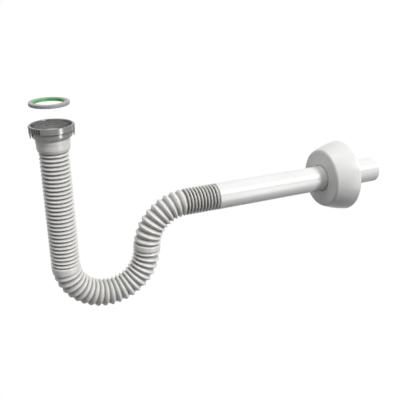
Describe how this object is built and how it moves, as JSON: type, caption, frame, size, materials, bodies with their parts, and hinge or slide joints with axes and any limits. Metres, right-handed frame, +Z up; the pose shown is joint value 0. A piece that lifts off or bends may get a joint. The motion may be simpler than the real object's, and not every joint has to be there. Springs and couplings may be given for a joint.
{
  "type": "flexible sink trap",
  "caption": "Flexible corrugated sink trap with a union nut and seal at the inlet, a U-bend, a plain outlet pipe and a sliding wall flange.",
  "frame": {"origin": "centre of the union nut's top rim, where the sink's waste screws in", "axes": "+Z up along the inlet, +X along the outlet pipe towards the wall, the whole hose in the plane y = 0"},
  "size_m": [0.4441, 0.0904, 0.2482],
  "materials": {
    "nut": "satin grey, moulded",
    "collar": "smooth white, moulded",
    "washer": "matt grey",
    "seal": "satin green",
    "hose": "white, corrugated",
    "pipe": "smooth white",
    "flange": "smooth white, moulded"
  },
  "bodies": {
    "inlet": {"inlet_collar": "collar", "sealing_washer": "washer", "washer_seal": "seal"},
    "nut": {"union_nut": "nut"},
    "hose": {"flexible_hose": "hose"},
    "outlet": {"outlet_pipe": "pipe"},
    "flange": {"wall_flange": "flange"}
  },
  "joints": [
    {"name": "nut_spin", "type": "hinge", "parent": "inlet", "child": "nut", "pos_m": [0, 0, 0], "axis": [0, 0, 1], "continuous": true},
    {"name": "leg_stretch", "type": "slide", "parent": "inlet", "child": "hose", "axis": [0, 0, -1], "range_m": [0, 0.0716], "deforming": ["flexible_hose"]},
    {"name": "outlet_reach", "type": "slide", "parent": "hose", "child": "outlet", "axis": [1, 0, 0], "range_m": [0, 0.029], "deforming": ["flexible_hose"]},
    {"name": "flange_slide", "type": "slide", "parent": "outlet", "child": "flange", "axis": [1, 0, 0], "range_m": [-0.145, 0.045]}
  ]
}
